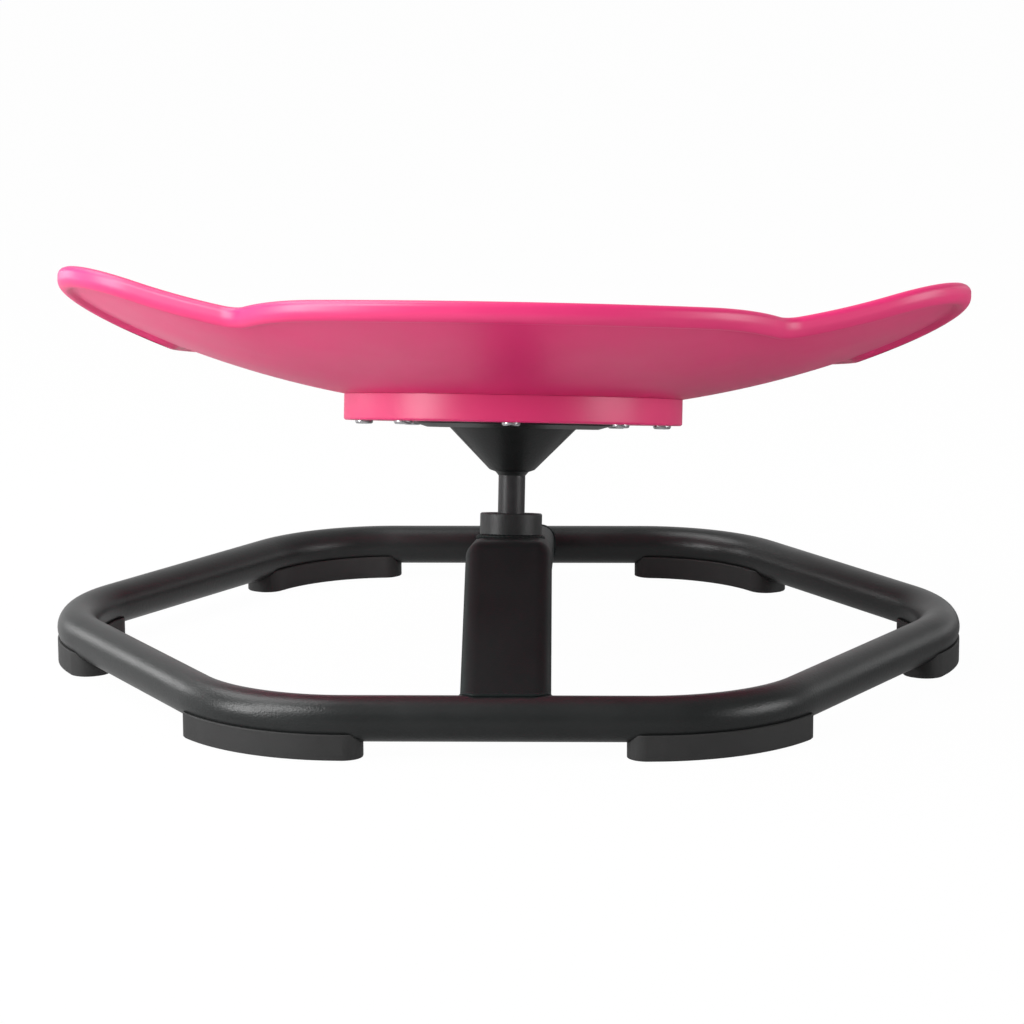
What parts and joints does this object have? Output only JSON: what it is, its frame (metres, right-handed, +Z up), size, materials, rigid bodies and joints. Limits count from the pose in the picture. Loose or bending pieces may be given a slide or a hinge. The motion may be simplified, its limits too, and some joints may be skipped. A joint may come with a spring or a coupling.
{
  "type": "sensory swivel chair",
  "caption": "Low sensory swivel chair: dished pink seat with side hand grips spins freely on a tilted spindle over a black six-sided tube ring with rubber feet.",
  "frame": {"origin": "on the floor, under the middle of the base ring", "axes": "+X to the right seen from the front, +Y to the rear, +Z up"},
  "size_m": [0.5438, 0.5002, 0.251],
  "materials": {
    "black_powder_coat": "satin powder coat",
    "black_oxide_steel": "satin black",
    "zinc_steel": "bright zinc",
    "bearing_steel": "ground and polished",
    "black_rubber": "matte",
    "black_plastic": "matte",
    "brass_insert": "machined",
    "pink_plastic": "satin with a fine grain"
  },
  "bodies": {
    "base": {"base_ring": "black_powder_coat", "cross_beam": "black_powder_coat", "foot_1": "black_rubber", "foot_2": "black_rubber", "foot_3": "black_rubber", "foot_4": "black_rubber", "foot_5": "black_rubber", "foot_6": "black_rubber", "foot_screws": "zinc_steel", "bearing_housing": "black_powder_coat", "lower_outer_ring": "bearing_steel", "upper_outer_ring": "bearing_steel", "dust_seal": "black_rubber", "bottom_cap": "black_plastic"},
    "seat": {"spindle": "black_oxide_steel", "lower_inner_ring": "bearing_steel", "upper_inner_ring": "bearing_steel", "bearing_spacer": "zinc_steel", "washer": "zinc_steel", "lock_nut": "zinc_steel", "hub_cone": "black_powder_coat", "flange_plate": "black_powder_coat", "flange_screws": "black_oxide_steel", "flange_inserts": "brass_insert", "seat_disc": "pink_plastic", "disc_screws": "zinc_steel", "seat_shell": "pink_plastic"},
    "lower_ball_set": {"lower_balls": "bearing_steel", "lower_cage": "black_plastic"},
    "upper_ball_set": {"upper_balls": "bearing_steel", "upper_cage": "black_plastic"}
  },
  "joints": [
    {"name": "seat_swivel", "type": "hinge", "parent": "base", "child": "seat", "pos_m": [0.00236, -0.017, 0.06334], "axis": [0.019, 0.1662, 0.9859], "continuous": true},
    {"name": "lower_ball_spin", "type": "hinge", "parent": "base", "child": "lower_ball_set", "pos_m": [0.00236, -0.017, 0.06334], "axis": [0.019, 0.1662, 0.9859], "continuous": true},
    {"name": "upper_ball_spin", "type": "hinge", "parent": "base", "child": "upper_ball_set", "pos_m": [0.00236, -0.017, 0.06334], "axis": [0.019, 0.1662, 0.9859], "continuous": true}
  ],
  "couplings": [
    {"joint": "lower_ball_spin", "follows": "seat_swivel", "ratio": 0.4064},
    {"joint": "upper_ball_spin", "follows": "seat_swivel", "ratio": 0.4064}
  ]
}
